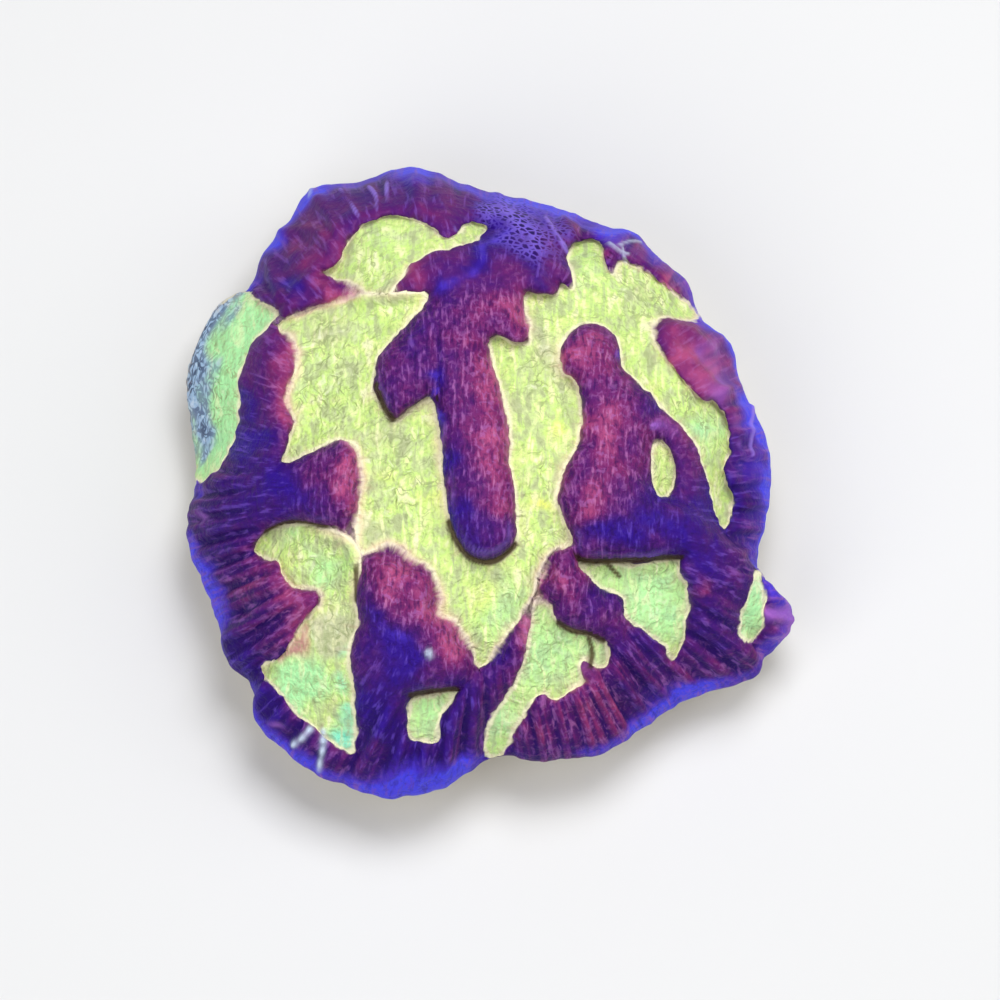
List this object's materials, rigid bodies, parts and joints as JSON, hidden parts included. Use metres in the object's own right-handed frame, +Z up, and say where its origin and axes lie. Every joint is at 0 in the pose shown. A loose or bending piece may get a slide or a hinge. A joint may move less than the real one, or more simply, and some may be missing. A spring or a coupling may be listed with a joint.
{
  "type": "brain coral head",
  "caption": "Domed brain coral head with broad winding ridges, fleshy valleys and a folded lip, cut flat underneath to rest on a surface.",
  "frame": {"origin": "middle of the head's footprint, on the flat cut that it rests on", "axes": "+Z up, -Y towards the front of the head, +X to the right seen from the front"},
  "size_m": [0.1057, 0.117, 0.05],
  "materials": {
    "coral_tissue": "wet living tissue over stony skeleton: indigo and plum ridges, yellow-green valleys"
  },
  "bodies": {
    "root": {"coral_head": "coral_tissue"}
  },
  "joints": []
}
